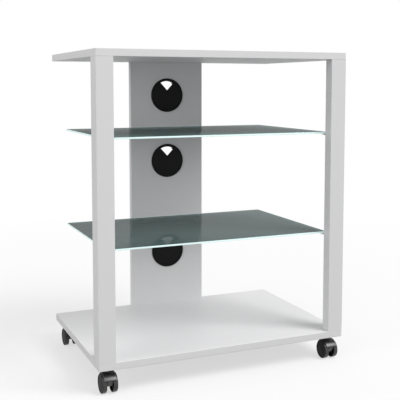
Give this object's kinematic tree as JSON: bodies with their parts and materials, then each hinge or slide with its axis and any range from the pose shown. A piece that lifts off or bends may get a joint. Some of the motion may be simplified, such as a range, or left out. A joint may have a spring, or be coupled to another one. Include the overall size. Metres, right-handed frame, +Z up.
{
  "type": "audio equipment rack",
  "caption": "Open rolling rack for audio equipment: white boards on front posts and a back column with cable grommets, glass shelves between, on swivelling twin-wheel casters.",
  "frame": {"origin": "on the floor below the middle of the rack", "axes": "+X to the right as seen from the front, +Y to the back, +Z up"},
  "size_m": [0.6, 0.4, 0.73],
  "materials": {
    "white_board": "white melamine foil on particle board, satin",
    "shelf_glass": "clear tempered float glass with polished edges",
    "grommet_plastic": "moulded black plastic, fine matt grain",
    "caster_plastic": "moulded black nylon, semi-gloss",
    "nickel": "nickel-plated, bright",
    "zinc_steel": "zinc-plated, satin",
    "clear_pad": "clear soft plastic"
  },
  "bodies": {
    "rack": {"top_board": "white_board", "bottom_board": "white_board", "left_front_post": "white_board", "right_front_post": "white_board", "back_column": "white_board", "upper_grommet_ring": "grommet_plastic", "middle_grommet_ring": "grommet_plastic", "lower_grommet_ring": "grommet_plastic", "lower_glass_shelf": "shelf_glass", "upper_glass_shelf": "shelf_glass", "lower_front_left_shelf_support": "nickel", "lower_front_right_shelf_support": "nickel", "lower_rear_left_shelf_support": "nickel", "lower_rear_right_shelf_support": "nickel", "upper_front_left_shelf_support": "nickel", "upper_front_right_shelf_support": "nickel", "upper_rear_left_shelf_support": "nickel", "upper_rear_right_shelf_support": "nickel", "lower_front_left_glass_pad": "clear_pad", "lower_front_right_glass_pad": "clear_pad", "lower_rear_left_glass_pad": "clear_pad", "lower_rear_right_glass_pad": "clear_pad", "upper_front_left_glass_pad": "clear_pad", "upper_front_right_glass_pad": "clear_pad", "upper_rear_left_glass_pad": "clear_pad", "upper_rear_right_glass_pad": "clear_pad", "left_post_cam": "zinc_steel", "right_post_cam": "zinc_steel", "column_left_cam": "zinc_steel", "column_right_cam": "zinc_steel", "left_post_cam_bolt": "zinc_steel", "right_post_cam_bolt": "zinc_steel", "column_left_cam_bolt": "zinc_steel", "column_right_cam_bolt": "zinc_steel", "left_post_screw": "zinc_steel", "right_post_screw": "zinc_steel", "column_screw": "zinc_steel", "front_left_caster_plate": "zinc_steel", "front_right_caster_plate": "zinc_steel", "rear_left_caster_plate": "zinc_steel", "rear_right_caster_plate": "zinc_steel"},
    "upper_cap": {"upper_grommet_cap": "grommet_plastic"},
    "middle_cap": {"middle_grommet_cap": "grommet_plastic"},
    "lower_cap": {"lower_grommet_cap": "grommet_plastic"},
    "front_left_caster": {"front_left_caster_housing": "caster_plastic", "front_left_axle": "zinc_steel"},
    "front_right_caster": {"front_right_caster_housing": "caster_plastic", "front_right_axle": "zinc_steel"},
    "rear_left_caster": {"rear_left_caster_housing": "caster_plastic", "rear_left_axle": "zinc_steel"},
    "rear_right_caster": {"rear_right_caster_housing": "caster_plastic", "rear_right_axle": "zinc_steel"},
    "front_left_outer_wheel": {"front_left_outer_wheel": "caster_plastic"},
    "front_left_inner_wheel": {"front_left_inner_wheel": "caster_plastic"},
    "front_right_outer_wheel": {"front_right_outer_wheel": "caster_plastic"},
    "front_right_inner_wheel": {"front_right_inner_wheel": "caster_plastic"},
    "rear_left_outer_wheel": {"rear_left_outer_wheel": "caster_plastic"},
    "rear_left_inner_wheel": {"rear_left_inner_wheel": "caster_plastic"},
    "rear_right_outer_wheel": {"rear_right_outer_wheel": "caster_plastic"},
    "rear_right_inner_wheel": {"rear_right_inner_wheel": "caster_plastic"}
  },
  "joints": [
    {"name": "front_left_swivel", "type": "hinge", "parent": "rack", "child": "front_left_caster", "pos_m": [-0.274, -0.168, 0.04], "axis": [0, 0, 1], "continuous": true},
    {"name": "front_right_swivel", "type": "hinge", "parent": "rack", "child": "front_right_caster", "pos_m": [0.274, -0.168, 0.04], "axis": [0, 0, 1], "continuous": true},
    {"name": "rear_left_swivel", "type": "hinge", "parent": "rack", "child": "rear_left_caster", "pos_m": [-0.274, 0.168, 0.04], "axis": [0, 0, 1], "continuous": true},
    {"name": "rear_right_swivel", "type": "hinge", "parent": "rack", "child": "rear_right_caster", "pos_m": [0.274, 0.168, 0.04], "axis": [0, 0, 1], "continuous": true},
    {"name": "front_left_outer_roll", "type": "hinge", "parent": "front_left_caster", "child": "front_left_outer_wheel", "pos_m": [-0.274, -0.177, 0.021], "axis": [1, 0, 0], "continuous": true},
    {"name": "front_left_inner_roll", "type": "hinge", "parent": "front_left_caster", "child": "front_left_inner_wheel", "pos_m": [-0.274, -0.177, 0.021], "axis": [1, 0, 0], "continuous": true},
    {"name": "front_right_outer_roll", "type": "hinge", "parent": "front_right_caster", "child": "front_right_outer_wheel", "pos_m": [0.274, -0.177, 0.021], "axis": [1, 0, 0], "continuous": true},
    {"name": "front_right_inner_roll", "type": "hinge", "parent": "front_right_caster", "child": "front_right_inner_wheel", "pos_m": [0.274, -0.177, 0.021], "axis": [1, 0, 0], "continuous": true},
    {"name": "rear_left_outer_roll", "type": "hinge", "parent": "rear_left_caster", "child": "rear_left_outer_wheel", "pos_m": [-0.274, 0.159, 0.021], "axis": [1, 0, 0], "continuous": true},
    {"name": "rear_left_inner_roll", "type": "hinge", "parent": "rear_left_caster", "child": "rear_left_inner_wheel", "pos_m": [-0.274, 0.159, 0.021], "axis": [1, 0, 0], "continuous": true},
    {"name": "rear_right_outer_roll", "type": "hinge", "parent": "rear_right_caster", "child": "rear_right_outer_wheel", "pos_m": [0.274, 0.159, 0.021], "axis": [1, 0, 0], "continuous": true},
    {"name": "rear_right_inner_roll", "type": "hinge", "parent": "rear_right_caster", "child": "rear_right_inner_wheel", "pos_m": [0.274, 0.159, 0.021], "axis": [1, 0, 0], "continuous": true},
    {"name": "upper_cap_turn", "type": "hinge", "parent": "rack", "child": "upper_cap", "pos_m": [0, 0.184, 0.6285], "axis": [0, 1, 0], "continuous": true},
    {"name": "middle_cap_turn", "type": "hinge", "parent": "rack", "child": "middle_cap", "pos_m": [0, 0.184, 0.4555], "axis": [0, 1, 0], "continuous": true},
    {"name": "lower_cap_turn", "type": "hinge", "parent": "rack", "child": "lower_cap", "pos_m": [0, 0.184, 0.2135], "axis": [0, 1, 0], "continuous": true}
  ]
}
